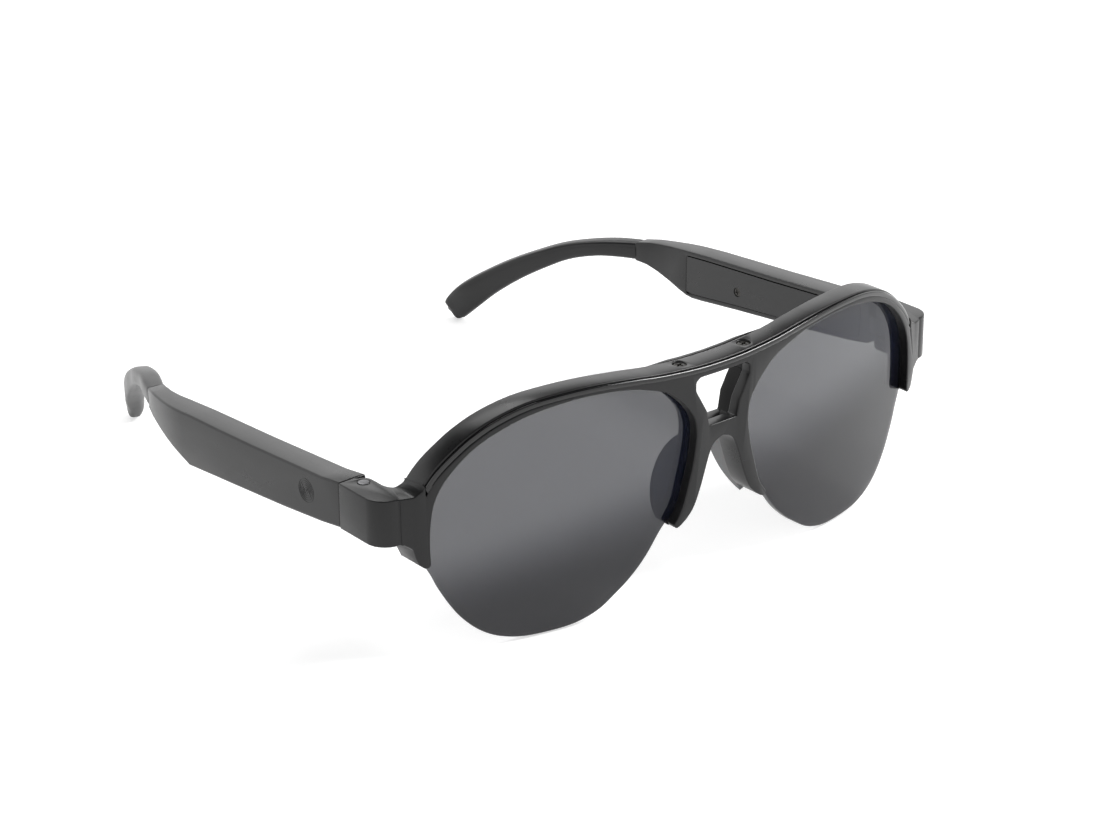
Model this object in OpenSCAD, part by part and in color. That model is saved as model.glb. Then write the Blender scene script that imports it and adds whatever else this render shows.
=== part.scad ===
// Smart glasses: a half-rim aviator front with a double bridge and two smoked lenses, and two folding
// temples that each hold a battery, a circuit board, a microphone, a touch pad and a speaker.
// X runs across the face, Y backwards along the temples and Z up. The glasses rest on Z = 0,
// on the lower edges of the lenses and the ends of the temple tips.

/* [Front] */
// Radius of the front's wrap, seen from above
wrap_r = 189; // [175:1:220]
// Lean of the front, top backwards, in degrees
front_lean = 1; // [0:0.5:2]
// Depth of the brow bar and rims, front to back
front_depth = 5.6; // [5.4:0.1:5.8]
// Half of the overall width, at the end pieces
half_w = 73.2; // [72.5:0.1:74]
// Height of the bevel between the front face and the brow bar's top
bevel_h = 1.2; // [0.8:0.1:1.4]
// Depth of that bevel
bevel_t = 0.8; // [0.6:0.1:1]
// Radius of the end pieces' outer corners
corner_r = 4.5; // [3.5:0.1:5]
// Top of the end pieces
end_top = 34.2; // [33.8:0.1:34.6]
// Underside of the end pieces
end_bottom = 24.8; // [24.6:0.1:25]

/* [Lenses] */
// Thickness of a lens
lens_t = 1.8; // [1.4:0.1:1.8]
// Distance from the front face to the lens
lens_setback = 2.3; // [2:0.1:2.6]
// Distance that the lens runs into the rim's groove
lens_lip = 0.8; // [0.6:0.1:0.9]

/* [Nose pads] */
// Half width of the oval that a nose pad is cut from
pad_w = 7.4; // [7:0.1:7.6]
// Half height of that oval
pad_h = 9.5; // [9:0.1:9.6]
// Thickness of a nose pad
pad_t = 1.5; // [1.2:0.1:1.6]
// Lean of a nose pad, lower end outwards, in degrees
pad_lean = 23; // [21:1:24]

/* [Hinges] */
// Distance of a hinge pin from the middle plane
pin_x = 69.3; // [69:0.1:69.5]
// Distance of a hinge pin behind the front
pin_y = 23.4; // [23.2:0.1:23.6]
// Radius of a hinge pin's shank
pin_r = 0.8; // [0.6:0.05:0.9]
// Radius of a hinge pin's head
pin_head_r = 1.1; // [1:0.05:1.3]
// Radius of the temple's hinge barrel
barrel_r = 2; // [1.8:0.1:2.05]

/* [Temples] */
// Thickness of a temple
temple_t = 6.2; // [6:0.1:6.6]
// Gap at the seam between an end piece and its temple
seam_gap = 0.12; // [0.1:0.01:0.15]
// Wall of the temple's shell
wall = 1.2; // [1:0.1:1.3]
// Thickness of the inner cover
cover_t = 1; // [0.8:0.1:1.2]
// Radius of the inner cover's screw head
cover_screw_r = 1.05; // [0.9:0.05:1.2]

/* [Electronics] */
// Length of the battery
battery_l = 19; // [16:0.5:19.5]
// Height of the battery
battery_h = 5.2; // [4.8:0.1:5.4]
// Length of the speaker
speaker_l = 12; // [10:0.5:13]
// Height of the speaker
speaker_h = 6; // [5:0.1:6.2]
// Radius of a charging contact
contact_r = 0.9; // [0.7:0.05:1]

/* [Hidden] */
$fn = 48;

// Everything is drawn with the arch of the nose at Y = 0, then moved so that the middle of the
// overall depth is at Y = 0.
centre_y = 73.63;
lean_z = 35;
clear = 0.05;
depth_y = 40;
tall = 60;
seam_y = pin_y + 2.6;
out_x = half_w - 0.2;
in_x = out_x - temple_t;
cover_x = in_x + cover_t;
knuckle_low = 27.3;
knuckle_high = 31.3;
screw_x = 8.4;
screw_y = 3.9;
screw_r = 0.7;
screw_head_r = 1.35;
screw_top = 47.6;
bevel_x = 64;
insert_y = 2.8;
insert_t = 3.6;
cap_t = 1.3;
rest_z = 0.4;
pad_x = 7.6;
pad_y = 3.65;
pad_z = 23.1;

// Half outlines of the front, in X and Z, from the middle outwards or back to it.
brow_edge = [[0, 47.6], [6, 47.7], [15, 48.3], [21.5, 49], [29.5, 49.6], [37, 49.6], [44.4, 48.9],
    [50.7, 47], [55.4, 44.5], [58.8, 41.9], [61.5, 39.4], [63.3, 37.2], [64.6, 35.2]];
end_edge = [[66.2, end_top], [half_w, end_top], [half_w, end_bottom], [68.2, end_bottom],
    [66.6, 23.6], [66.2, 21.9], [65.6, 20.2], [64.5, 19.3], [63.8, 19.3]];
window_edge = [[63.4, 20], [63.5, 25], [62.9, 30.8], [61.4, 34.9], [58.9, 38.3], [55.6, 41.4],
    [51.5, 43.9], [45.1, 46.3], [38, 47.5], [31, 47.8], [23, 47.1], [17.2, 45.5], [14, 44.2],
    [11.3, 42.1], [8.9, 39.6], [7.3, 36.9], [6.8, 33.3], [7.6, 28], [8.8, 23.6], [10.3, 18.9],
    [12.3, 16]];
arch_edge = [[11.9, 15.2], [11, 15.3], [8.9, 16.8], [7.2, 18.9], [5.5, 22.9], [3.5, 28.8],
    [2.1, 30.9], [0, 31.7]];
opening_edge = [[0, 34.8], [3.6, 34.8], [4.3, 38], [7, 42.8], [7, 44.6], [6, 45.4], [0, 45.4]];
lens_low_edge = [[62.8, 18.9], [62.2, 16.4], [60.9, 13.4], [58.7, 9.4], [56.4, 6.2], [53.4, 3.3],
    [50, 1.3], [46, 0], [42, -0.4], [36, -0.4], [32, 0], [28, 1.7], [24.6, 3.7], [21, 6.3],
    [17.3, 9.9], [13.4, 15]];

// Half outline of the insert behind the bridges, in X and Z, and the opening through it.
insert_edge = [[0, 46.7], [10.4, 46.7], [10.3, 44.6], [8.4, 42], [6.4, 39], [5.7, 36],
    [5.5, 33], [6.3, 27.9], [7.5, 23.4], [8.9, 18.8], [9.2, 17.4], [8, 18.7], [6.2, 22.9], [4.3, 28.9],
    [2.8, 31.4], [1.2, 32.3], [0, 32.3]];
insert_opening = [[0, 34.1], [4.2, 34.1], [4.8, 38], [7.4, 42.8], [7, 45.2], [0, 45.2]];
insert_cap = [[0, 47.5], [6, 47.6], [14, 48], [18, 48.4], [18, 46.4], [10.4, 45.2], [0, 45.3]];

// Side outline of a temple's shell, in Y and Z, and the plan of it, in Y and X.
shell_top = [[seam_y + seam_gap, 34.2], [32, 33.3], [45, 32.3], [56, 31.4], [66, 30.7], [77, 30],
    [86, 29.2], [91, 28.7], [96, 28.2], [100, 27.5]];
shell_low = [[100, 23], [97, 22.5], [94, 21.5], [90, 20.1], [87, 19.1], [84.5, 18.4], [82, 18.2],
    [79, 18.5], [67, 19.9], [56, 21], [45, 22.2], [32, 23.8], [seam_y + seam_gap, 24.8]];
shell_plan_out = [[seam_y + seam_gap, out_x], [60, out_x - 0.1], [78, out_x - 0.4], [86, out_x - 0.8],
    [94, out_x - 2.4], [100, out_x - 4.3]];
shell_plan_in = [[100, in_x - 2.1], [97, in_x - 1.1], [94, in_x - 0.4], [90, in_x],
    [seam_y + seam_gap, in_x]];
cavity_y = [28.6, 84];

// Middle line of a temple's tip in X, Y and Z, with its half height and half thickness there.
tip_line = [[66.7, 100, 25.25], [64.5, 105, 24.9], [62, 110.5, 24], [59.2, 117.5, 21.8],
    [56.2, 123.8, 18.6], [53.2, 130.8, 14.4], [50.3, 136.8, 10], [47.7, 141.2, 6], [46.4, 144.4, 2.6],
    [46.1, 145.2, 1.5], [46, 145.7, 0.9], [45.9, 145.9, 0.6]];
tip_half_h = [2.25, 2.05, 1.9, 2, 2.3, 2.7, 3.1, 3.5, 3.3, 2.8, 1.9, 0.9];
tip_half_t = [2, 2.15, 2.15, 2.15, 2.15, 2.2, 2.2, 2, 1.6, 1.3, 0.8, 0.4];

function mid_curve(a, b, c, d, t) = 0.5 * ((2 * b) + (c - a) * t + (2 * a - 5 * b + 4 * c - d) * t * t
    + (3 * b - a - 3 * c + d) * t * t * t);
function smooth(p, n) = let (last = len(p) - 1) concat(
    [for (i = [0:last - 1]) for (k = [0:n - 1])
        mid_curve(p[max(i - 1, 0)], p[i], p[i + 1], p[min(i + 2, last)], k / n)],
    [p[last]]);
function closed(half) = concat(half, [for (q = flipped(half)) if (q[0] != 0) q]);
function flipped(p) = [for (i = [len(p) - 1:-1:0]) [-p[i][0], p[i][1]]];
function perp(v) = [-v[1], v[0]] / norm(v);
function spread(p, d) = [for (i = [0:len(p) - 1])
    p[i] + d * perp(p[min(i + 1, len(p) - 1)] - p[max(i - 1, 0)])];
function lowered(p, h) = [for (q = p) [q[0] * (1 - h / 120), q[1] - h]];

module on_left() {
    translate([0, -centre_y, rest_z]) children();
}

module on_right() {
    translate([0, -centre_y, rest_z]) mirror([1, 0, 0]) children();
}

module leaned() {
    translate([0, 0, lean_z]) rotate([-front_lean, 0, 0]) translate([0, 0, -lean_z]) children();
}

// Extrudes an outline in X and Z along Y, from y0 to y1.
module along_y(y0, y1) {
    translate([0, y1, 0]) rotate([90, 0, 0]) linear_extrude(y1 - y0) children();
}

// Extrudes an outline in Y and Z along X, from x0 to x1.
module along_x(x0, x1) {
    translate([x0, 0, 0]) rotate([90, 0, 90]) linear_extrude(x1 - x0) children();
}

// Plan of all that lies behind the front face at a setback, with rounded outer corners.
module wrap_plan(setback, half, r) {
    ring = wrap_r - setback;
    corner_x = half - r;
    corner_y = wrap_r - sqrt(pow(ring - r, 2) - pow(corner_x, 2));
    intersection() {
        translate([0, wrap_r]) circle(ring, $fn = 360);
        union() {
            translate([-corner_x, -1]) square([2 * corner_x, depth_y]);
            translate([-half, corner_y]) square([2 * half, depth_y]);
            for (s = [-1, 1]) translate([s * corner_x, corner_y]) circle(r);
        }
    }
}

// Solid between two setbacks from the front face.
module front_layer(from, to) {
    difference() {
        leaned() translate([0, 0, -1]) linear_extrude(tall + 1) wrap_plan(from, half_w + 2, 1);
        leaned() translate([0, 0, -2]) linear_extrude(tall + 3) wrap_plan(to, half_w + 3, 1);
    }
}

// Outline of the front, with its brow's top edge lowered by a drop.
module front_outline(drop) {
    polygon(closed(concat(lowered(smooth(brow_edge, 3), drop), end_edge, smooth(window_edge, 3),
        smooth(arch_edge, 3))));
}

module opening_outline() {
    polygon(closed(opening_edge));
}

module lens_outline(extra) {
    polygon(concat(spread(smooth(window_edge, 3), -lens_lip - extra), flipped([for (p = lens_low_edge)
        [-p[0], p[1] - extra]])));
}

// Everything that is cut from the end piece so that the temple's barrel can turn in it.
module hinge_cuts() {
    translate([pin_x, pin_y, 0]) {
        translate([-12, -barrel_r - 0.2, knuckle_low - clear])
            cube([12 + barrel_r + 0.2, 12, knuckle_high - knuckle_low + 2 * clear]);
        translate([0, 0, 20]) cylinder(r = pin_r + 0.02, h = 20);
        translate([0, 0, end_top - 0.6]) cylinder(r = pin_head_r + 0.05, h = 2);
        difference() {
            translate([-12, 0, end_bottom - 1]) cube([12, 12, end_top - end_bottom + 2]);
            translate([0, 0, end_bottom - 2]) cylinder(r = 2.1, h = end_top - end_bottom + 4);
        }
    }
}

module brow_screw_holes() {
    for (s = [-1, 1]) translate([s * screw_x, screw_y, 0]) {
        translate([0, 0, 40]) cylinder(r = screw_r + 0.05, h = 12);
        translate([0, 0, screw_top - 0.6]) cylinder(r = screw_head_r + 0.05, h = 4);
    }
}

module front_frame() {
    color("#1d1d1f") difference() {
        intersection() {
            leaned() linear_extrude(tall) wrap_plan(0, half_w, corner_r);
            along_y(-2, seam_y) difference() {
                front_outline(0);
                opening_outline();
            }
        }
        leaned() translate([0, 0, -1]) linear_extrude(tall + 2)
            wrap_plan(front_depth, pin_x - 2.1, 3);
        difference() {
            intersection() {
                front_layer(-1, bevel_t);
                translate([-bevel_x, -5, lean_z - 1]) cube([2 * bevel_x, depth_y, 30]);
            }
            along_y(-6, depth_y) front_outline(bevel_h);
        }
        for (s = [0, 1]) mirror([s, 0, 0]) {
            hinge_cuts();
            intersection() {
                front_layer(lens_setback - clear, lens_setback + lens_t + clear);
                along_y(-2, depth_y) lens_outline(clear);
            }
        }
        along_y(insert_y - clear, depth_y) polygon(closed(spread(insert_edge, clear)));
        brow_screw_holes();
    }
}

module bridge_insert() {
    color("#161618") difference() {
        union() {
            along_y(insert_y, insert_y + insert_t) polygon(closed(insert_edge));
            intersection() {
                front_layer(front_depth + clear, front_depth + cap_t);
                along_y(0, depth_y) polygon(closed(insert_cap));
            }
        }
        along_y(0, depth_y) polygon(closed(insert_opening));
        for (s = [-1, 1]) translate([s * screw_x, screw_y, 40]) cylinder(r = screw_r + 0.02, h = 12);
    }
}

module lens() {
    color("#55565d", 0.6) intersection() {
        front_layer(lens_setback, lens_setback + lens_t);
        along_y(-2, depth_y) lens_outline(0);
    }
}

// Soft wing that starts behind the nasal leg and stands out to the back, lower end outwards.
module nose_pad() {
    color("#3a3a3d") translate([pad_x, 0, pad_z]) rotate([0, -pad_lean, 0])
        along_x(-pad_t / 2, pad_t / 2) intersection() {
            translate([pad_y, 0]) scale([1, pad_h / pad_w]) circle(pad_w);
            translate([insert_y + insert_t + 0.1, -2 * pad_h]) square(4 * pad_h);
        }
}

module brow_screws() {
    color("#2a2a2c") for (s = [-1, 1]) translate([s * screw_x, screw_y, 0]) difference() {
        union() {
            translate([0, 0, screw_top - 4]) cylinder(r = screw_r, h = 3.7);
            translate([0, 0, screw_top - 0.55]) cylinder(r = screw_head_r, h = 0.55);
        }
        translate([0, 0, screw_top - 0.3]) for (a = [0, 90]) rotate([0, 0, a])
            translate([-0.7, -0.15, 0]) cube([1.4, 0.3, 1]);
    }
}

module hinge_pins() {
    color("#34343a") for (s = [-1, 1]) translate([s * pin_x, pin_y, 0]) {
        translate([0, 0, end_bottom + 0.3]) cylinder(r = pin_r, h = end_top - end_bottom - 0.6);
        translate([0, 0, end_top - 0.55]) cylinder(r = pin_head_r, h = 0.6);
    }
}

module shell_side(inset) {
    polygon(spread(concat(shell_top, shell_low), -inset));
}

module cavity_side(inset) {
    intersection() {
        shell_side(wall + inset);
        translate([cavity_y[0] + inset, 0]) square([cavity_y[1] - cavity_y[0] - 2 * inset, tall]);
    }
}

module shell_plan() {
    polygon([for (p = concat(smooth(shell_plan_out, 3), shell_plan_in)) [p[1], p[0]]]);
}

module boss_place() {
    translate([0, 67, 24.4]) rotate([0, 90, 0]) children();
}

module temple_shell() {
    color("#232325") {
        difference() {
            intersection() {
                along_x(in_x - 3, out_x + 1) shell_side(0);
                linear_extrude(tall) shell_plan();
            }
            along_x(in_x - 4, out_x - wall - 0.1) cavity_side(0);
            translate([in_x + 1.9, 72, 15]) cube([2.2, 8, 8]);
            translate([out_x - 2, 31.5, 20]) cylinder(r = 0.4, h = 6, $fn = 24);
        }
        difference() {
            boss_place() translate([0, 0, cover_x + clear]) cylinder(r = 1.7, h = out_x - wall - cover_x);
            boss_place() cylinder(r = 0.62, h = out_x - wall);
        }
        difference() {
            translate([pin_x, pin_y, knuckle_low]) union() {
                cylinder(r = barrel_r, h = knuckle_high - knuckle_low);
                translate([-barrel_r, 0, 0])
                    cube([2 * barrel_r, seam_y - pin_y + 1, knuckle_high - knuckle_low]);
            }
            translate([pin_x, pin_y, 20]) cylinder(r = pin_r + 0.05, h = 20);
        }
    }
}

module inner_cover() {
    color("#2b2b2d") difference() {
        along_x(in_x, cover_x) cavity_side(clear);
        boss_place() cylinder(r = 0.65, h = out_x);
        boss_place() translate([0, 0, in_x - 1]) cylinder(r = cover_screw_r + clear, h = 1.5);
        contact_places() cylinder(r = contact_r + clear, h = 10, center = true);
    }
}

module cover_screw() {
    color("#101012") boss_place() difference() {
        union() {
            translate([0, 0, in_x + 0.05]) cylinder(r = cover_screw_r, h = 0.42);
            translate([0, 0, in_x + 0.4]) cylinder(r = 0.6, h = 3.4);
        }
        translate([0, 0, in_x]) for (a = [0, 90]) rotate([0, 0, a]) cube([1.2, 0.25, 0.5], center = true);
    }
}

module contact_places() {
    for (y = [36, 40]) translate([in_x, y, 28.4]) rotate([0, 90, 0]) children();
}

module charging_contacts() {
    color("#c9a24a") contact_places() translate([0, 0, 0.1]) cylinder(r = contact_r, h = 2);
}

// A tube of oval rings along the tip's middle line, at fractions of the tip's height and thickness.
module tip_body(scale_h, scale_t, tip_steps, tip_sides) {
    line = smooth(tip_line, tip_steps);
    high = smooth(tip_half_h, tip_steps);
    thick = smooth(tip_half_t, tip_steps);
    last = len(line) - 1;
    rings = [for (i = [0:last]) let (
            run = line[min(i + 1, last)] - line[max(i - 1, 0)],
            ahead = i == 0 ? [0, 1, 0] : run / norm(run),
            side = [ahead[1], -ahead[0], 0] / norm([ahead[0], ahead[1]]),
            above = cross(side, ahead))
        [for (k = [0:tip_sides - 1]) let (a = 360 * k / tip_sides)
            line[i] + side * thick[i] * scale_t * cos(a) + above * high[i] * scale_h * sin(a)]];
    count = len(rings);
    polyhedron([for (r = rings) each r], concat(
        [[for (k = [0:tip_sides - 1]) k]],
        [for (i = [0:count - 2]) for (k = [0:tip_sides - 1]) let (n = (k + 1) % tip_sides)
            each [[i * tip_sides + k, (i + 1) * tip_sides + k, (i + 1) * tip_sides + n],
                [i * tip_sides + k, (i + 1) * tip_sides + n, i * tip_sides + n]]],
        [[for (k = [tip_sides - 1:-1:0]) (count - 1) * tip_sides + k]]));
}

module temple_tip() {
    color("#1d1d1f") tip_body(1, 1, 3, 16);
}

module tip_core() {
    color("#9a9ba0") tip_body(0.35, 0.3, 1, 8);
}

module battery() {
    color("#b9bcc2") translate([cover_x + 0.25, 44.8, 23.9]) cube([3.4, battery_l, battery_h]);
}

module circuit_board() {
    color("#1f5c3a") translate([cover_x + 1.8, 29.3, 25.6]) cube([0.8, 14.6, 5]);
}

module bluetooth_chip() {
    color("#26262a") translate([cover_x + 2.62, 35, 26.2]) cube([0.7, 4, 4]);
}

module microphone() {
    color("#b9bcc2") translate([cover_x + 2.62, 30, 25.7]) cube([1, 3, 2.4]);
}

module touch_pad() {
    color("#b87333") translate([out_x - wall - 0.3, 34.2, 26.3]) cube([0.15, 7.6, 4.6]);
}

module speaker() {
    color("#3b3c40") translate([cover_x + 0.3, 70.2, 21.3]) cube([3.2, speaker_l, speaker_h]);
}

module speaker_mesh() {
    color("#8d8f94") translate([in_x + 1.95, 72.05, 20.35]) cube([2.1, 7.9, 0.3]);
}

on_left() front_frame();
on_left() bridge_insert();
on_left() lens();  // left_lens
on_right() lens();  // right_lens
on_left() nose_pad();  // left_nose_pad
on_right() nose_pad();  // right_nose_pad
on_left() brow_screws();
on_left() hinge_pins();
on_left() temple_shell();  // left_temple_shell
on_left() inner_cover();  // left_inner_cover
on_left() cover_screw();  // left_cover_screw
on_left() temple_tip();  // left_temple_tip
on_left() tip_core();  // left_tip_core
on_left() battery();  // left_battery
on_left() circuit_board();  // left_circuit_board
on_left() bluetooth_chip();  // left_bluetooth_chip
on_left() microphone();  // left_microphone
on_left() touch_pad();  // left_touch_pad
on_left() charging_contacts();  // left_charging_contacts
on_left() speaker();  // left_speaker
on_left() speaker_mesh();  // left_speaker_mesh
on_right() temple_shell();  // right_temple_shell
on_right() inner_cover();  // right_inner_cover
on_right() cover_screw();  // right_cover_screw
on_right() temple_tip();  // right_temple_tip
on_right() tip_core();  // right_tip_core
on_right() battery();  // right_battery
on_right() circuit_board();  // right_circuit_board
on_right() bluetooth_chip();  // right_bluetooth_chip
on_right() microphone();  // right_microphone
on_right() touch_pad();  // right_touch_pad
on_right() charging_contacts();  // right_charging_contacts
on_right() speaker();  // right_speaker
on_right() speaker_mesh();  // right_speaker_mesh
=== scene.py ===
"""Smart glasses: the visual model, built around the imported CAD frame."""

import logging
import math
from collections.abc import Callable, Sequence
from dataclasses import dataclass
from enum import Enum

import bpy
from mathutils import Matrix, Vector


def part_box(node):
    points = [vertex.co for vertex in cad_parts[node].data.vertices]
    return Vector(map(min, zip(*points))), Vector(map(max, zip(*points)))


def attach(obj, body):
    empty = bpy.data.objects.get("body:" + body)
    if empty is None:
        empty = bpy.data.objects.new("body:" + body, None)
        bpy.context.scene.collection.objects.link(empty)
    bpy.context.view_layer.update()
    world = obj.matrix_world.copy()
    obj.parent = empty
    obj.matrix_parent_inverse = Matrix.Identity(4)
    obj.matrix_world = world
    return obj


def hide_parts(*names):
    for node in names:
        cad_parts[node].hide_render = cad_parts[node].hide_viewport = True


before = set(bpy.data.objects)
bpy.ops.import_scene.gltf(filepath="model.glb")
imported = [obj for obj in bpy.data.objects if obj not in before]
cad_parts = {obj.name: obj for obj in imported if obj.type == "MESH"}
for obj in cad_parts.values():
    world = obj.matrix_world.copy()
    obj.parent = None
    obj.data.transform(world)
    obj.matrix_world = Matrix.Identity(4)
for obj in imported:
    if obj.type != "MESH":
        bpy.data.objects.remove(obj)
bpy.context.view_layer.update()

log = logging.getLogger("smart_glasses")

MM = 0.001
CENTRE_Y = 73.63
REST_Z = 0.4
WRAP_RADIUS = 189.0
LEAN = math.tan(math.radians(1.0))
LEAN_Z = 35.0
Profile = Sequence[tuple[float, float]]
Colour = tuple[float, float, float]


class Side(Enum):
    """Which of the wearer's sides a piece belongs to."""

    LEFT = 1
    RIGHT = -1

    @property
    def word(self) -> str:
        """The side as it stands in node and body names."""
        return self.name.lower()

    @property
    def body(self) -> str:
        """The temple body on this side."""
        return f"{self.word}_temple"

    def node(self, name: str) -> str:
        """Full name of one of this side's nodes."""
        return f"{self.word}_{name}"


def at(x: float, y: float, z: float) -> Vector:
    """Turns a design place into a place in the row frame.

    Args:
        x, y, z: Millimetres, with Y from the arch of the nose and Z from the lean's own base.

    Returns:
        The same place in metres in the row frame.
    """
    return Vector((x, y - CENTRE_Y, z + REST_Z)) * MM


def front_face(x: float, z: float) -> float:
    """Y of the wrapped front face at a place across and up, in design millimetres."""
    return WRAP_RADIUS - math.sqrt(WRAP_RADIUS**2 - x * x) + LEAN * (z - LEAN_Z)


def through(points: Sequence[Sequence[float]], steps: int) -> list[Vector]:
    """Runs a smooth curve through points.

    Args:
        points: Two or more points of any dimension.
        steps: Steps between one point and the next.

    Returns:
        The curve's points, with both ends.
    """
    p = [Vector(q) for q in points]
    last = len(p) - 1
    curve = []
    for i in range(last):
        a, b, c, d = p[max(i - 1, 0)], p[i], p[i + 1], p[min(i + 2, last)]
        for k in range(steps):
            t = k / steps
            curve.append(0.5 * (2 * b + (c - a) * t + (2 * a - 5 * b + 4 * c - d) * t**2
                                + (3 * b - a - 3 * c + d) * t**3))
    return curve + [p[last]]


# ---------------------------------------------------------------- shader graphs


class Wire:
    """An output of a shader node, with arithmetic that adds Math nodes."""

    def __init__(self, graph: "Graph", socket: bpy.types.NodeSocket) -> None:
        """Keeps the graph and the socket."""
        self.graph = graph
        self.socket = socket

    def __add__(self, other: "Wire | float") -> "Wire":
        """Sum."""
        return self.graph.math("ADD", self, other)

    def __sub__(self, other: "Wire | float") -> "Wire":
        """Difference."""
        return self.graph.math("SUBTRACT", self, other)

    def __rsub__(self, other: float) -> "Wire":
        """Difference from a number."""
        return self.graph.math("SUBTRACT", other, self)

    def __mul__(self, other: "Wire | float") -> "Wire":
        """Product."""
        return self.graph.math("MULTIPLY", self, other)

    __radd__ = __add__
    __rmul__ = __mul__


class Graph:
    """A material with one Principled shader, built node by node."""

    def __init__(self, name: str) -> None:
        """Makes the material.

        Args:
            name: The material's name.
        """
        self.material = bpy.data.materials.new(name)
        self.material.use_nodes = True
        self.tree = self.material.node_tree
        self.shader = self.tree.nodes["Principled BSDF"]
        self.place = self.out("ShaderNodeTexCoord", {}, {}, "Object")

    def out(self, kind: str, settings: dict, inputs: dict, output: str | int = 0) -> Wire:
        """Adds a node.

        Args:
            kind: The node's type.
            settings: The node's own properties, set first.
            inputs: Values or wires by socket name or number.
            output: The output that is wanted.

        Returns:
            That output.
        """
        node = self.tree.nodes.new(kind)
        for key, value in settings.items():
            setattr(node, key, value)
        for key, value in inputs.items():
            self.feed(node.inputs[key], value)
        return Wire(self, node.outputs[output])

    def feed(self, socket: bpy.types.NodeSocket, value: "Wire | float | Sequence[float]") -> None:
        """Links a wire to a socket, or sets the socket's value."""
        if isinstance(value, Wire):
            self.tree.links.new(value.socket, socket)
        elif isinstance(value, tuple) and len(value) == 3 and socket.type == "RGBA":
            socket.default_value = (*value, 1.0)
        else:
            socket.default_value = value

    def math(self, operation: str, a: "Wire | float", b: "Wire | float") -> Wire:
        """One Math node."""
        return self.out("ShaderNodeMath", {"operation": operation}, {0: a, 1: b})

    def noise(self, size: float, detail: float = 2.0, stretch: Colour = (1.0, 1.0, 1.0)) -> Wire:
        """Noise from 0 to 1.

        Args:
            size: Width of one patch in millimetres.
            detail: Levels of finer noise.
            stretch: How much the pattern is squeezed along each axis.
        """
        where = self.out("ShaderNodeMapping", {}, {"Vector": self.place, "Scale": stretch})
        inputs = {"Vector": where, "Scale": 1 / (size * MM), "Detail": detail}
        return self.out("ShaderNodeTexNoise", {}, inputs)

    def blend(self, factor: Wire, a: "Wire | Colour", b: "Wire | Colour") -> Wire:
        """Mixes two colours."""
        return self.out("ShaderNodeMix", {"data_type": "RGBA"}, {0: factor, 6: a, 7: b}, 2)

    def band(self, value: Wire, low: float, high: float) -> Wire:
        """Rises smoothly from 0 to 1 while the value goes from low to high."""
        return self.out("ShaderNodeMapRange", {"interpolation_type": "SMOOTHSTEP"},
                        {"Value": value, "From Min": low, "From Max": high})

    def axis(self, name: str) -> Wire:
        """One coordinate of the object's own space, in metres."""
        return self.out("ShaderNodeSeparateXYZ", {}, {0: self.place}, name)

    def relief(self, height: Wire, depth: float) -> None:
        """Raises the surface by a height pattern.

        Args:
            height: The pattern, from 0 to 1.
            depth: Its depth in millimetres.
        """
        bump = self.out("ShaderNodeBump", {}, {"Height": height, "Strength": 1.0, "Distance": depth * MM})
        self.feed(self.shader.inputs["Normal"], bump)

    def set(self, **values: "Wire | float | Colour") -> None:
        """Sets the shader's sockets; a name's underscores stand for spaces."""
        for name, value in values.items():
            self.feed(self.shader.inputs[name.replace("_", " ")], value)


class Finish:
    """A finish that paints pieces and holds the name of the slot that it belongs to."""

    slot: str
    name: str

    def graph(self) -> Graph:
        """Builds the material."""
        raise NotImplementedError

    def material(self) -> bpy.types.Material:
        """The material, made once."""
        found = bpy.data.materials.get(self.name)
        return found or self.graph().material

    def paint(self, piece: bpy.types.Object) -> None:
        """Gives the piece this finish."""
        piece.data.materials.clear()
        piece.data.materials.append(self.material())


@dataclass(frozen=True)
class MouldedPlastic(Finish):
    """Injection-moulded plastic: a deep tone with cloudy gloss, fine grain and faint handling marks."""

    name: str
    slot: str
    tone: Colour
    gloss: float
    grain: float = 0.5
    grain_depth: float = 0.006
    coat: float = 0.0
    ior: float = 1.44

    def graph(self) -> Graph:
        """Builds the material."""
        g = Graph(self.name)
        cloud = g.noise(9.0, 3.0)
        grain = g.noise(self.grain, 3.0)
        marks = g.noise(2.6, 4.0, (1.0, 0.18, 1.0))
        lighter = tuple(min(1.0, c * 1.5 + 0.0008) for c in self.tone)
        g.set(Base_Color=g.blend(cloud * 0.6 + grain * 0.3, self.tone, lighter),
              Roughness=cloud * 0.1 + marks * 0.09 + grain * 0.05 + (self.gloss - 0.12),
              Coat_Weight=self.coat, Coat_Roughness=0.08, IOR=self.ior)
        g.relief(grain * 0.8 + cloud * 0.2, self.grain_depth)
        return g


@dataclass(frozen=True)
class SmokedLens(Finish):
    """Polarised grey lens: tinted all through, with a painted reflection above a soft slanting line that
    makes it paler, bluer and clearer there.
    """

    name: str = "smoked_lens"
    slot: str = "smoke_lens"

    def graph(self) -> Graph:
        """Builds the material."""
        g = Graph(self.name)
        height = g.axis("Z") + g.axis("X") * -0.12
        # Painted reflection: above a soft slanting line the lens gets a paler, bluer colour and less alpha,
        # standing in for a reflected bright area.
        painted_reflection = g.band(height, 0.012, 0.030)
        haze = g.noise(30.0, 1.0)
        tone = g.blend(painted_reflection, (0.003, 0.003, 0.006), (0.006, 0.008, 0.019))
        g.set(Base_Color=tone, Roughness=haze * 0.04 + 0.03, Alpha=0.84 - painted_reflection * 0.17, IOR=1.45)
        g.relief(g.noise(14.0, 1.0), 0.004)
        return g


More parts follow.
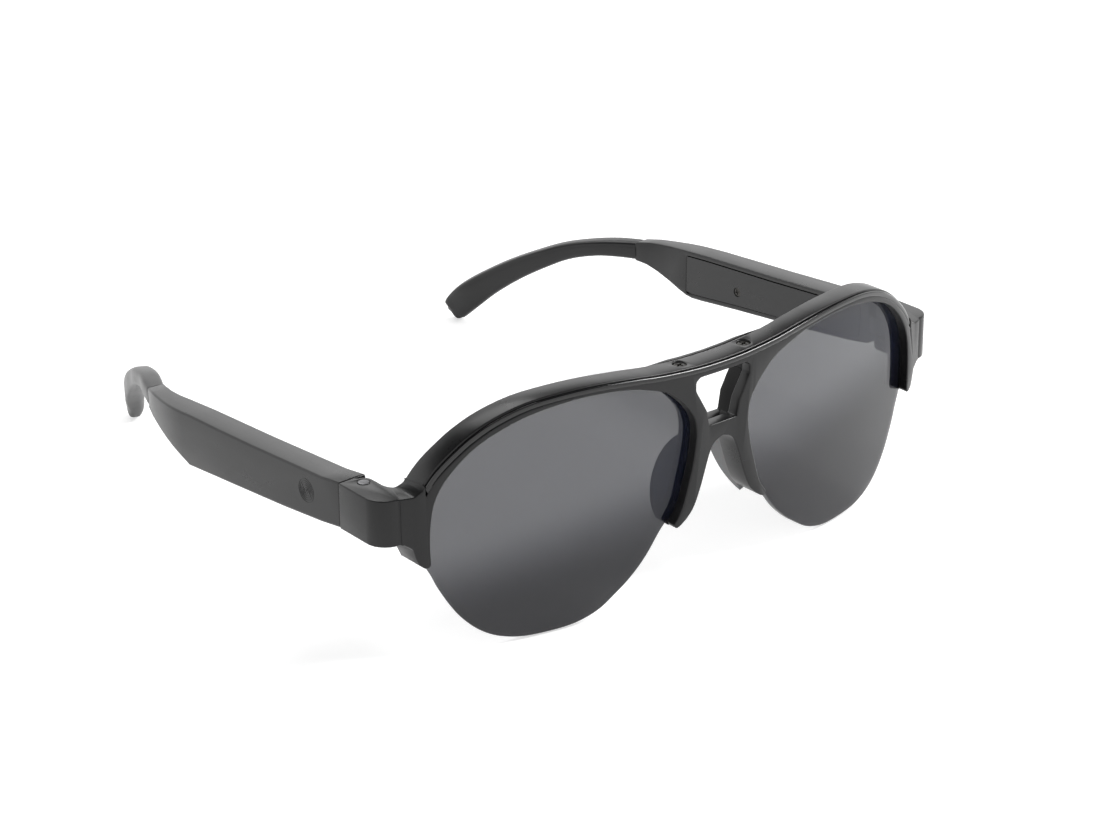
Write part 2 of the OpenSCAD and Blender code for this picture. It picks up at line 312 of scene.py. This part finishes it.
@dataclass(frozen=True)
class Silicone(Finish):
    """Soft translucent grey silicone with a fine matt skin."""

    name: str = "pad_silicone_skin"
    slot: str = "pad_silicone"

    def graph(self) -> Graph:
        """Builds the material."""
        g = Graph(self.name)
        cloud = g.noise(3.0, 3.0)
        skin = g.noise(0.35, 3.0)
        g.set(Base_Color=g.blend(cloud, (0.060, 0.060, 0.063), (0.085, 0.086, 0.090)),
              Roughness=skin * 0.15 + 0.36, Subsurface_Weight=0.15, Subsurface_Scale=0.001,
              Coat_Weight=0.15, Coat_Roughness=0.3)
        g.relief(skin, 0.008)
        return g


@dataclass(frozen=True)
class Metal(Finish):
    """Turned or stamped metal with fine tool marks."""

    name: str
    slot: str
    tone: Colour
    gloss: float
    marks: Colour = (1.0, 1.0, 6.0)

    def graph(self) -> Graph:
        """Builds the material."""
        g = Graph(self.name)
        scratch = g.noise(0.4, 4.0, self.marks)
        cloud = g.noise(2.0, 2.0)
        worn = tuple(min(1.0, c * 1.3 + 0.02) for c in self.tone)
        g.set(Base_Color=g.blend(cloud * 0.7 + scratch * 0.3, self.tone, worn), Metallic=1.0,
              Roughness=scratch * 0.18 + (self.gloss - 0.06))
        g.relief(scratch, 0.004)
        return g


@dataclass(frozen=True)
class SolderMask(Finish):
    """Green lacquer over copper tracks, seen as slightly raised lines."""

    name: str = "solder_mask"
    slot: str = "board_green"

    def graph(self) -> Graph:
        """Builds the material."""
        g = Graph(self.name)
        lines = g.out("ShaderNodeTexWave", {"wave_type": "BANDS", "bands_direction": "DIAGONAL"},
                      {"Vector": g.place, "Scale": 420.0, "Distortion": 3.0, "Detail": 1.0}, "Fac")
        track = g.band(lines, 0.55, 0.7)
        g.set(Base_Color=g.blend(track, (0.010, 0.075, 0.032), (0.03, 0.16, 0.06)),
              Roughness=g.noise(1.0) * 0.1 + 0.25, Coat_Weight=0.5, Coat_Roughness=0.1)
        g.relief(track, 0.03)
        return g


FRONT_PLASTIC = MouldedPlastic("front_plastic", "front_black", (0.0022, 0.0022, 0.0025), 0.3, ior=1.42)
TRIM_PLASTIC = MouldedPlastic("trim_plastic", "front_black", (0.0012, 0.0012, 0.0014), 0.15, coat=0.3,
                              grain_depth=0.002)
INSERT_PLASTIC = MouldedPlastic("insert_plastic", "insert_black", (0.0012, 0.0012, 0.0013), 0.13, ior=1.27,
                                grain_depth=0.003)
TEMPLE_PLASTIC = MouldedPlastic("temple_plastic", "temple_black", (0.0032, 0.0032, 0.0035), 0.3, ior=1.47)
COVER_PLASTIC = MouldedPlastic("cover_plastic", "cover_black", (0.0032, 0.0032, 0.0035), 0.3, ior=1.47)
TIP_PLASTIC = MouldedPlastic("tip_plastic", "tip_black", (0.003, 0.003, 0.0033), 0.34)
MARK_PLASTIC = MouldedPlastic("mark_print", "temple_black", (0.0012, 0.0012, 0.0013), 0.42, 0.3, 0.004)
LENS = SmokedLens()
SILICONE = Silicone()
SCREW_BLACK = Metal("screw_black_oxide", "black_screw", (0.045, 0.043, 0.04), 0.34)
PIN_STEEL = Metal("pin_steel", "hinge_steel", (0.13, 0.13, 0.135), 0.36)
WIRE_STEEL = Metal("core_steel", "core_wire", (0.42, 0.42, 0.43), 0.3)
CELL_FOIL = Metal("cell_pouch", "cell_foil", (0.62, 0.63, 0.65), 0.38)
CAN_STEEL = Metal("microphone_can", "mic_can", (0.55, 0.56, 0.57), 0.3)
COPPER = Metal("touch_copper_foil", "touch_copper", (0.65, 0.29, 0.14), 0.3)
CONTACT_PLATE = Metal("contact_gold_plate", "contact_gold", (0.085, 0.065, 0.038), 0.4)
MESH_STEEL = Metal("mesh_steel_wire", "mesh_steel", (0.22, 0.22, 0.23), 0.35)
CHIP = MouldedPlastic("chip_epoxy", "chip_black", (0.012, 0.012, 0.013), 0.45, 0.2, 0.01)
SPEAKER = MouldedPlastic("speaker_case", "speaker_black", (0.02, 0.02, 0.021), 0.45, 0.4, 0.01)
BOARD = SolderMask()


# ---------------------------------------------------------------- modelling


class Bench:
    """Modelling steps, each done with Blender's own operators on one piece."""

    @staticmethod
    def take(piece: bpy.types.Object) -> bpy.types.Object:
        """Makes the piece the only selected and active one."""
        bpy.ops.object.select_all(action="DESELECT")
        piece.select_set(True)
        bpy.context.view_layer.objects.active = piece
        return piece

    @staticmethod
    def edit(piece: bpy.types.Object, *steps: Callable[[], object]) -> bpy.types.Object:
        """Runs operators in edit mode with the whole mesh selected.

        Args:
            piece: The piece to shape.
            steps: Calls to make, in order.

        Returns:
            The piece.
        """
        Bench.take(piece)
        bpy.ops.object.mode_set(mode="EDIT")
        bpy.ops.mesh.select_all(action="SELECT")
        for step in steps:
            step()
        bpy.ops.object.mode_set(mode="OBJECT")
        return piece

    @staticmethod
    def pick(piece: bpy.types.Object, test: Callable[[bpy.types.MeshPolygon], bool],
             *steps: Callable[[], object]) -> bpy.types.Object:
        """Runs operators in edit mode on the faces that pass a test."""
        Bench.edit(piece, lambda: bpy.ops.mesh.select_all(action="DESELECT"),
                   lambda: bpy.ops.mesh.select_mode(type="FACE"))
        for face in piece.data.polygons:
            face.select = test(face)
        bpy.ops.object.mode_set(mode="EDIT")
        for step in steps:
            step()
        bpy.ops.mesh.select_mode(type="VERT")
        bpy.ops.object.mode_set(mode="OBJECT")
        return piece

    @staticmethod
    def modify(piece: bpy.types.Object, kind: str, **settings: object) -> bpy.types.Object:
        """Adds a modifier, sets it and applies it."""
        Bench.take(piece)
        step = piece.modifiers.new("step", kind)
        for key, value in settings.items():
            setattr(step, key, value)
        bpy.ops.object.modifier_apply(modifier=step.name)
        return piece

    @staticmethod
    def bevel(piece: bpy.types.Object, width: float, segments: int = 3, angle: float = 30.0,
              clamp: bool = False) -> bpy.types.Object:
        """Rounds the sharp edges.

        Args:
            piece: The piece.
            width: Width of the rounding in millimetres.
            segments: Steps across it.
            angle: Edges sharper than this many degrees are rounded.
            clamp: Whether widths are kept from crossing.
        """
        return Bench.modify(piece, "BEVEL", width=width * MM, segments=segments, limit_method="ANGLE",
                            angle_limit=math.radians(angle), use_clamp_overlap=clamp,
                            miter_outer="MITER_ARC")

    @staticmethod
    def smooth(piece: bpy.types.Object, angle: float = 38.0, level: bool = False) -> bpy.types.Object:
        """Shades smoothly, apart from edges sharper than the angle.

        Args:
            piece: The piece.
            angle: The angle in degrees.
            level: Whether large faces are kept looking flat.
        """
        Bench.take(piece)
        bpy.ops.object.shade_smooth_by_angle(angle=math.radians(angle))
        return Bench.modify(piece, "WEIGHTED_NORMAL", keep_sharp=True) if level else piece

    @staticmethod
    def node_copy(node: str, name: str) -> bpy.types.Object:
        """Copies a CAD node's mesh into a new piece with its flat faces made whole.

        Args:
            node: The CAD node.
            name: The new piece's name.

        Returns:
            The piece, which doesn't ride yet.
        """
        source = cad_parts[node]
        piece = bpy.data.objects.new(name, source.data.copy())
        bpy.context.scene.collection.objects.link(piece)
        return Bench.edit(piece, lambda: bpy.ops.mesh.remove_doubles(threshold=0.002 * MM),
                          lambda: bpy.ops.mesh.dissolve_limited(angle_limit=math.radians(0.6)))

    @staticmethod
    def settle(piece: bpy.types.Object, name: str) -> bpy.types.Object:
        """Names a piece and bakes its place, turn and scale into its mesh."""
        Bench.take(piece)
        piece.name = name
        piece.data.name = name
        bpy.ops.object.transform_apply(location=True, rotation=True, scale=True)
        return piece

    @staticmethod
    def join(pieces: Sequence[bpy.types.Object]) -> bpy.types.Object:
        """Joins pieces into the first one."""
        Bench.take(pieces[0])
        for other in pieces[1:]:
            other.select_set(True)
        bpy.ops.object.join()
        return pieces[0]

    @staticmethod
    def carve(piece: bpy.types.Object, tool: bpy.types.Object) -> bpy.types.Object:
        """Cuts a tool's shape out of a piece and throws the tool away."""
        Bench.modify(piece, "BOOLEAN", object=tool, operation="DIFFERENCE", solver="EXACT")
        bpy.data.objects.remove(tool)
        return piece

    @staticmethod
    def loft(name: str, rings: Sequence[Sequence[Vector]]) -> bpy.types.Object:
        """Skins a row of rings with the same number of points and closes both ends.

        Args:
            name: The piece's name.
            rings: The rings, in metres in the row frame.

        Returns:
            The piece, with its faces outwards.
        """
        sides = len(rings[0])
        points = [tuple(p) for ring in rings for p in ring]
        faces = [(i * sides + k, i * sides + (k + 1) % sides, (i + 1) * sides + (k + 1) % sides,
                  (i + 1) * sides + k) for i in range(len(rings) - 1) for k in range(sides)]
        last = (len(rings) - 1) * sides
        faces += [tuple(range(sides)), tuple(range(last, last + sides))]
        mesh = bpy.data.meshes.new(name)
        mesh.from_pydata(points, [], faces)
        piece = bpy.data.objects.new(name, mesh)
        bpy.context.scene.collection.objects.link(piece)
        return Bench.edit(piece, lambda: bpy.ops.mesh.normals_make_consistent(inside=False))


def finish_piece(piece: bpy.types.Object, finish: Finish, body: str, *nodes: str) -> bpy.types.Object:
    """Paints a piece, lets it ride on its body and hides the CAD nodes that it stands for."""
    finish.paint(piece)
    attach(piece, body)
    if nodes:
        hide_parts(*nodes)
    log.info("%s: %d faces on %s", piece.name, len(piece.data.polygons), body)
    return piece


def cross_screw(name: str, radius: float, head: float, shank_radius: float, shank: float) -> bpy.types.Object:
    """Makes a screw with a low domed head and a cross recess, upright with its head's top at Z = 0.

    Args:
        name: The piece's name.
        radius: Radius of the head in millimetres.
        head: Height of the head.
        shank_radius: Radius of the shank.
        shank: Length of the shank under the head.

    Returns:
        The screw, still at the origin.
    """
    bpy.ops.mesh.primitive_cylinder_add(vertices=48, radius=radius * MM, depth=head * MM,
                                        location=(0, 0, -head / 2 * MM))
    screw = Bench.settle(bpy.context.object, name)
    top = -0.01 * MM
    Bench.pick(screw, lambda f: f.center.z > top,
               lambda: bpy.ops.mesh.inset(thickness=radius * 0.22 * MM),
               lambda: bpy.ops.transform.translate(value=(0, 0, 0.06 * MM)),
               lambda: bpy.ops.mesh.inset(thickness=radius * 0.3 * MM),
               lambda: bpy.ops.transform.translate(value=(0, 0, 0.03 * MM)))
    for angle in (0, 90):
        bpy.ops.mesh.primitive_cube_add(size=1)
        blade = bpy.context.object
        blade.scale = Vector((radius * 1.25, radius * 0.3, head * 1.2)) * MM
        blade.rotation_euler.z = math.radians(angle + 20)
        Bench.carve(screw, Bench.settle(blade, "driver"))
    Bench.pick(screw, lambda f: f.normal.z < -0.99 and f.center.z < -0.9 * head * MM,
               lambda: bpy.ops.mesh.inset(thickness=(radius - shank_radius) * MM),
               lambda: bpy.ops.mesh.extrude_region_move(
                   TRANSFORM_OT_translate={"value": (0, 0, -shank * MM)}))
    return Bench.bevel(screw, 0.04, 2, 40, True)


# ---------------------------------------------------------------- the front


@dataclass
class Front:
    """The frame front with its brow trim, its bridge insert, screws and hinge pins."""

    rounding: float = 0.28
    trim_end: float = 64.2
    body: str = "front"
    lining_cut: tuple[float, float] = (18.0, 6.45)
    lining_slope: float = 0.1
    narrowing: float = 120.0
    brow: Profile = ((0, 47.6), (6, 47.7), (15, 48.3), (21.5, 49), (29.5, 49.6), (37, 49.6), (44.4, 48.9),
                     (50.7, 47), (55.4, 44.5), (58.8, 41.9), (61.5, 39.4), (63.2, 37.3), (64.2, 35.8))
    trim_profile: Profile = ((1.1, 0.82), (1.1, 0.54), (0.42, 0.50), (0.30, 0.42), (0.28, 0.32),
                             (0.36, 0.18), (0.60, 0.06), (0.90, 0.01), (1.2, 0.0), (1.34, 0.2), (1.34, 0.82))

    def build(self) -> None:
        """Builds and dresses every piece of the front."""
        shell = Bench.node_copy("front_frame", "front_shell")
        Bench.smooth(Bench.bevel(shell, self.rounding, 3, 28), 35)
        finish_piece(shell, FRONT_PLASTIC, self.body, "front_frame")
        finish_piece(self.trim(), TRIM_PLASTIC, self.body)
        insert = Bench.node_copy("bridge_insert", "bridge_lining")
        for side in Side:
            place = at(self.lining_cut[0] * side.value, self.lining_cut[1], 0)
            slant = (self.lining_slope * side.value, 1, 0)
            Bench.edit(insert, lambda: bpy.ops.mesh.bisect(plane_co=place, plane_no=slant, use_fill=True,
                                                           clear_outer=True))
        Bench.smooth(Bench.bevel(insert, 0.15, 2, 28))
        finish_piece(insert, INSERT_PLASTIC, self.body, "bridge_insert")
        finish_piece(self.screws(), SCREW_BLACK, self.body, "brow_screws")
        finish_piece(self.pins(), PIN_STEEL, self.body, "hinge_pins")

    def trim(self) -> bpy.types.Object:
        """The glossy bead that lies in the brow's rebate, behind a narrow groove."""
        half = [p for p in through(self.brow, 6) if p.x <= self.trim_end]
        path = [Vector((-p.x, p.y)) for p in reversed(half[1:])] + half
        rings = [[at(p.x * (1 - drop / self.narrowing), front_face(p.x, p.y - drop) + depth, p.y - drop)
                  for drop, depth in self.trim_profile] for p in path]
        return Bench.smooth(Bench.loft("brow_trim", rings), 60)

    def screws(self) -> bpy.types.Object:
        """The two screws in the brow, joined as one piece."""
        low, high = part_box("brow_screws")
        radius = (high.y - low.y) / 2 / MM
        pair = []
        for x in (low.x + radius * MM, high.x - radius * MM):
            screw = cross_screw("brow_screw_pair", radius, 0.5, 0.7, (high.z - low.z) / MM - 0.6)
            screw.location = (x, (low.y + high.y) / 2, high.z - 0.1 * MM)
            pair.append(Bench.settle(screw, "brow_screw_pair"))
        return Bench.smooth(Bench.join(pair), 40)

    def pins(self) -> bpy.types.Object:
        """The two hinge pins with their flat heads."""
        low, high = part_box("hinge_pins")
        radius = (high.y - low.y) / 2
        shank = 0.8 * MM
        pins = []
        for x in (low.x + radius, high.x - radius):
            bpy.ops.mesh.primitive_cylinder_add(vertices=48, radius=shank, depth=high.z - low.z,
                                                location=(x, (low.y + high.y) / 2, (low.z + high.z) / 2))
            pin = Bench.settle(bpy.context.object, "hinge_pin_pair")
            bpy.ops.mesh.primitive_cylinder_add(vertices=48, radius=radius, depth=0.6 * MM,
                                                location=(x, (low.y + high.y) / 2, high.z - 0.3 * MM))
            head = Bench.settle(bpy.context.object, "pin_head")
            Bench.pick(head, lambda f: f.normal.z > 0.99,
                       lambda: bpy.ops.mesh.inset(thickness=0.3 * MM),
                       lambda: bpy.ops.transform.translate(value=(0, 0, 0.05 * MM)))
            pins += [pin, Bench.bevel(head, 0.05, 2, 30, True)]
        return Bench.smooth(Bench.join(pins), 40)


@dataclass
class NosePad:
    """A silicone wing behind a nasal leg."""

    side: Side
    half_width: float = 7.4
    half_height: float = 9.5
    thickness: float = 1.5
    lean: float = 23.0
    middle: tuple[float, float, float] = (7.6, 3.65, 23.1)
    front_cut: float = 5.75

    def build(self) -> None:
        """Builds and dresses the pad."""
        bpy.ops.mesh.primitive_cylinder_add(vertices=96, radius=1, depth=self.thickness * MM,
                                            rotation=(0, math.radians(90), 0))
        pad = bpy.context.object
        Bench.settle(pad, self.side.node("nose_pad_wing"))
        pad.scale = (1, self.half_width * MM, self.half_height * MM)
        Bench.settle(pad, pad.name)
        cut = (0, (self.front_cut - self.middle[1]) * MM, 0)
        Bench.edit(pad, lambda: bpy.ops.mesh.bisect(plane_co=cut, plane_no=(0, 1, 0), use_fill=True,
                                                    clear_inner=True))
        Bench.bevel(pad, self.thickness * 0.42, 5, 40, True)
        x, y, z = self.middle
        pad.rotation_euler.y = math.radians(-self.lean) * self.side.value
        pad.location = at(x * self.side.value, y, z)
        Bench.smooth(Bench.settle(pad, pad.name), 50)
        finish_piece(pad, SILICONE, "front", self.side.node("nose_pad"))


@dataclass
class Lens:
    """A smoked lens: a thin curved sheet with a polished edge."""

    side: Side
    edge: float = 0.35
    thickness: float = 1.8
    depth: float = 2.3
    middle: tuple[float, float] = (37.0, 24.0)
    rings: int = 14
    outline: Profile = ((64.1, 20), (64.2, 25), (63.6, 31), (62.1, 35.4), (59.5, 38.9), (56.1, 42.1),
                        (51.8, 44.7), (45.3, 47.1), (38, 48.3), (31, 48.6), (22.8, 47.9), (16.9, 46.3),
                        (13.5, 44.9), (10.6, 42.5), (8.2, 39.9), (6.5, 37), (6.0, 33.3), (6.8, 27.9),
                        (8.1, 23.3), (9.7, 18.5), (13.4, 15), (17.3, 9.9), (21, 6.3), (24.6, 3.7),
                        (28, 1.55), (32, 0.2), (36, -0.32), (42, -0.32), (46, 0.1), (50, 1.3), (53.4, 3.3),
                        (56.4, 6.2), (58.7, 9.4), (60.9, 13.4), (62.2, 16.4), (64.1, 20))

    def build(self) -> None:
        """Builds and dresses the lens."""
        name = self.side.node("lens_glass")
        line = through(self.outline, 5)[:-1]
        mesh = bpy.data.meshes.new(name)
        sides = len(line)
        points, faces = [], []
        for ring in range(self.rings):
            share = 1 - ring / self.rings
            for p in line:
                x = self.middle[0] + (p.x - self.middle[0]) * share
                z = self.middle[1] + (p.y - self.middle[1]) * share
                points.append(at(x * self.side.value, front_face(x, z) + self.depth, z))
        x, z = self.middle
        points.append(at(x * self.side.value, front_face(x, z) + self.depth, z))
        for ring in range(self.rings - 1):
            a, b = ring * sides, (ring + 1) * sides
            faces += [(a + k, a + (k + 1) % sides, b + (k + 1) % sides, b + k) for k in range(sides)]
        last = (self.rings - 1) * sides
        faces += [(last + k, last + (k + 1) % sides, len(points) - 1) for k in range(sides)]
        mesh.from_pydata(points, [], faces)
        lens = bpy.data.objects.new(name, mesh)
        bpy.context.scene.collection.objects.link(lens)
        Bench.edit(lens, lambda: bpy.ops.mesh.normals_make_consistent(inside=False))
        offset = 1.0 if lens.data.polygons[0].normal.y > 0 else -1.0
        Bench.modify(lens, "SOLIDIFY", thickness=self.thickness * MM, offset=offset)
        Bench.smooth(Bench.bevel(lens, self.edge, 3, 40), 40)
        finish_piece(lens, LENS, "front", self.side.node("lens"))


# ---------------------------------------------------------------- the temples


@dataclass
class Temple:
    """A temple: its shell, inner cover, screw, tip, speaker mesh and, on the right, a touch mark."""

    side: Side
    corner: float = 0.45
    rear_cut: tuple[float, float, float] = (66.8, 84.0, 17.9)
    rear_slope: tuple[float, float] = (-0.36, -0.28)
    cover_growth: float = 0.03
    mark_radii: tuple[float, ...] = (0.6, 1.05, 1.5, 1.95, 2.4)
    mark_line: float = 0.075
    tip_steps: int = 8
    tip_sides: int = 40
    squareness: float = 3.8
    tip_line: Sequence[tuple[float, float, float]] = (
        (66.7, 100, 25.25), (64.5, 105, 24.9), (62, 110.5, 24), (59.2, 117.5, 21.8), (56.2, 123.8, 18.6),
        (53.2, 130.8, 14.4), (50.3, 136.8, 10), (47.7, 141.2, 6), (46.4, 144.4, 2.6), (46.1, 145.2, 1.5),
        (46, 145.7, 0.9), (45.9, 145.9, 0.6))
    tip_half: Profile = ((2.2, 1.95), (2.05, 2.15), (1.9, 2.15), (2, 2.15), (2.3, 2.15), (2.7, 2.2),
                         (3.1, 2.2), (3.5, 2), (3.3, 1.6), (2.8, 1.3), (1.9, 0.8), (0.9, 0.4))

    def build(self) -> None:
        """Builds and dresses every piece of the temple."""
        body = self.side.body
        finish_piece(self.shell(), TEMPLE_PLASTIC, body, self.side.node("temple_shell"))
        finish_piece(self.cover(), COVER_PLASTIC, body, self.side.node("inner_cover"))
        finish_piece(self.tip(), TIP_PLASTIC, body, self.side.node("temple_tip"))
        finish_piece(self.screw(), SCREW_BLACK, body, self.side.node("cover_screw"))
        finish_piece(self.mesh(), MESH_STEEL, body, self.side.node("speaker_mesh"))
        if self.side is Side.RIGHT:
            finish_piece(self.touch_mark(), MARK_PLASTIC, body)

    def shell(self) -> bpy.types.Object:
        """The outer shell with rounded corners and a cut-back lower outer edge at the rear."""
        shell = Bench.node_copy(self.side.node("temple_shell"), self.side.node("temple_case"))
        s = self.side.value
        x, y, z = self.rear_cut
        slope = (self.rear_slope[0] * s, self.rear_slope[1], 1)
        Bench.edit(shell, lambda: bpy.ops.mesh.bisect(plane_co=at(x * s, y, z), plane_no=slope,
                                                      use_fill=True, clear_inner=True))
        return Bench.smooth(Bench.bevel(shell, self.corner, 3, 25), 35)

    def cover(self) -> bpy.types.Object:
        """The inner cover, which closes up its joint with the shell."""
        cover = Bench.node_copy(self.side.node("inner_cover"), self.side.node("cover_plate"))
        Bench.edit(cover, lambda: bpy.ops.transform.shrink_fatten(value=self.cover_growth * MM))
        return Bench.smooth(Bench.bevel(cover, 0.06, 2, 40, True), 40, True)

    def tip(self) -> bpy.types.Object:
        """The ear tip, a squarish bar that widens to a rounded end."""
        line = through(self.tip_line, self.tip_steps)
        half = through(self.tip_half, self.tip_steps)
        last = len(line) - 1
        rings = []
        for i, middle in enumerate(line):
            ahead = (line[min(i + 1, last)] - line[max(i - 1, 0)]).normalized() if i else Vector((0, 1, 0))
            aside = Vector((ahead.y, -ahead.x, 0)).normalized()
            above = aside.cross(ahead)
            ring = []
            for k in range(self.tip_sides):
                angle = 2 * math.pi * k / self.tip_sides
                c, s = math.cos(angle), math.sin(angle)
                reach = (abs(c)**self.squareness + abs(s)**self.squareness)**(-1 / self.squareness)
                p = middle + (aside * half[i].y * c + above * half[i].x * s) * reach
                ring.append(at(p.x * self.side.value, p.y, p.z))
            rings.append(ring)
        return Bench.smooth(Bench.loft(self.side.node("ear_tip"), rings), 60)

    def screw(self) -> bpy.types.Object:
        """The inner cover's screw."""
        low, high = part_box(self.side.node("cover_screw"))
        radius = (high.y - low.y) / 2 / MM
        screw = cross_screw(self.side.node("cover_fixing"), radius, 0.4, 0.6, 3.3)
        screw.rotation_euler.y = math.radians(-90 * self.side.value)
        inner = low.x if self.side is Side.LEFT else high.x
        screw.location = (inner + 0.1 * MM * self.side.value, (low.y + high.y) / 2, (low.z + high.z) / 2)
        return Bench.smooth(Bench.settle(screw, screw.name), 40)

    def mesh(self) -> bpy.types.Object:
        """The perforated sheet under the speaker."""
        low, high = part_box(self.side.node("speaker_mesh"))
        size, middle = high - low, (low + high) / 2
        bpy.ops.mesh.primitive_grid_add(x_subdivisions=4, y_subdivisions=16, size=1)
        sheet = bpy.context.object
        sheet.scale = (size.x, size.y, 1)
        sheet.location = middle
        Bench.settle(sheet, self.side.node("speaker_grille"))
        Bench.edit(sheet, lambda: bpy.ops.mesh.select_mode(type="FACE"),
                   lambda: bpy.ops.mesh.inset(thickness=0.13 * MM, use_individual=True),
                   lambda: bpy.ops.mesh.delete(type="FACE"))
        return Bench.smooth(Bench.modify(sheet, "SOLIDIFY", thickness=size.z * 0.8, offset=0.0), 30)

    def touch_mark(self) -> bpy.types.Object:
        """Plain rings round a dot that show where the touch pad lies."""
        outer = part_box(self.side.node("temple_shell"))[0].x
        low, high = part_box(self.side.node("touch_pad"))
        middle = Vector((outer, (low.y + high.y) / 2 - 1.0 * MM, (low.z + high.z) / 2))
        rings = []
        for radius in self.mark_radii:
            bpy.ops.mesh.primitive_torus_add(major_segments=72, minor_segments=8, major_radius=radius * MM,
                                             minor_radius=self.mark_line * MM, location=middle,
                                             rotation=(0, math.radians(90), 0))
            ring = bpy.context.object
            ring.scale.z = 0.35
            rings.append(Bench.settle(ring, self.side.node("touch_rings")))
        bpy.ops.mesh.primitive_uv_sphere_add(segments=24, ring_count=12, radius=0.26 * MM, location=middle)
        dot = bpy.context.object
        dot.scale.x = 0.15
        rings.append(Bench.settle(dot, "dot"))
        return Bench.smooth(Bench.join(rings), 60)


@dataclass
class Electronics:
    """The parts inside a temple, which keep their CAD shapes and get their own finishes."""

    side: Side

    def dress(self) -> None:
        """Paints each part."""
        finishes = {"battery": CELL_FOIL, "circuit_board": BOARD, "bluetooth_chip": CHIP,
                    "microphone": CAN_STEEL, "touch_pad": COPPER, "charging_contacts": CONTACT_PLATE,
                    "speaker": SPEAKER, "tip_core": WIRE_STEEL}
        for name, finish in finishes.items():
            finish.paint(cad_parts[self.side.node(name)])
            log.info("%s dressed", self.side.node(name))


# ---------------------------------------------------------------- the studio


@dataclass
class Studio:
    """Camera, lights and floor."""

    azimuth: float = -39.831
    elevation: float = 24.187
    distance: float = 0.571
    target: tuple[float, float, float] = (-0.0025, -0.0270, 0.0200)
    lens: float = 88.39

    def build(self) -> None:
        """Sets the whole studio up."""
        bpy.context.scene.view_settings.view_transform = "Standard"
        self.camera()
        self.floor()
        self.surround()
        self.softbox("key", (0.55, -0.40, 0.65), 0.22, 5.0)
        self.softbox("top", (0.1, 0.5, 0.8), 0.5, 3.0)

    def camera(self) -> None:
        """Places the camera."""
        a, e = math.radians(self.azimuth), math.radians(self.elevation)
        back = Vector((math.sin(a) * math.cos(e), -math.cos(a) * math.cos(e), math.sin(e)))
        data = bpy.data.cameras.new("camera")
        data.lens, data.sensor_width, data.clip_start = self.lens, 36.0, 0.05
        camera = bpy.data.objects.new("camera", data)
        camera.location = Vector(self.target) + back * self.distance
        camera.rotation_euler = (-back).to_track_quat("-Z", "Y").to_euler()
        bpy.context.scene.collection.objects.link(camera)
        bpy.context.scene.camera = camera

    def floor(self) -> None:
        """Lays a plain pale floor."""
        bpy.ops.mesh.primitive_plane_add(size=8, location=(0, 0, -0.3 * MM))
        floor = bpy.context.object
        floor.name = "floor"
        g = Graph("floor_paper")
        g.set(Base_Color=(0.86, 0.86, 0.86), Roughness=0.9, Specular_IOR_Level=0.1,
              Emission_Color=(1.0, 1.0, 1.0), Emission_Strength=0.45)
        floor.data.materials.append(g.material)

    def surround(self) -> None:
        """Makes the room: pale up to mid height and dark overhead."""
        world = bpy.data.worlds.new("room")
        bpy.context.scene.world = world
        world.use_nodes = True
        nodes, links = world.node_tree.nodes, world.node_tree.links
        place = nodes.new("ShaderNodeTexCoord")
        split = nodes.new("ShaderNodeSeparateXYZ")
        ramp = nodes.new("ShaderNodeValToRGB")
        stops = ((0.0, 0.6), (0.1, 0.7), (0.24, 1.0), (0.46, 1.0), (0.55, 0.08), (1.0, 0.06))
        while len(ramp.color_ramp.elements) < len(stops):
            ramp.color_ramp.elements.new(0.5)
        for element, (position, level) in zip(ramp.color_ramp.elements, stops):
            element.position = position
            element.color = (level, level, level, 1.0)
        links.new(place.outputs["Generated"], split.inputs[0])
        links.new(split.outputs["Z"], ramp.inputs["Fac"])
        links.new(ramp.outputs["Color"], nodes["Background"].inputs["Color"])
        nodes["Background"].inputs["Strength"].default_value = 1.6

    def softbox(self, name: str, place: tuple[float, float, float], size: float, power: float) -> None:
        """Hangs a soft light that points at the middle of the floor."""
        data = bpy.data.lights.new(name, "AREA")
        data.size, data.energy = size, power
        light = bpy.data.objects.new(name, data)
        light.location = place
        light.rotation_euler = (-Vector(place)).to_track_quat("-Z", "Y").to_euler()
        bpy.context.scene.collection.objects.link(light)


def main() -> None:
    """Builds the glasses, then the studio."""
    logging.basicConfig(level=logging.INFO, format="%(name)s: %(message)s")
    Front().build()
    for side in Side:
        Lens(side).build()
        NosePad(side).build()
        Temple(side).build()
        Electronics(side).dress()
    Studio().build()


if __name__ == "__main__":
    main()
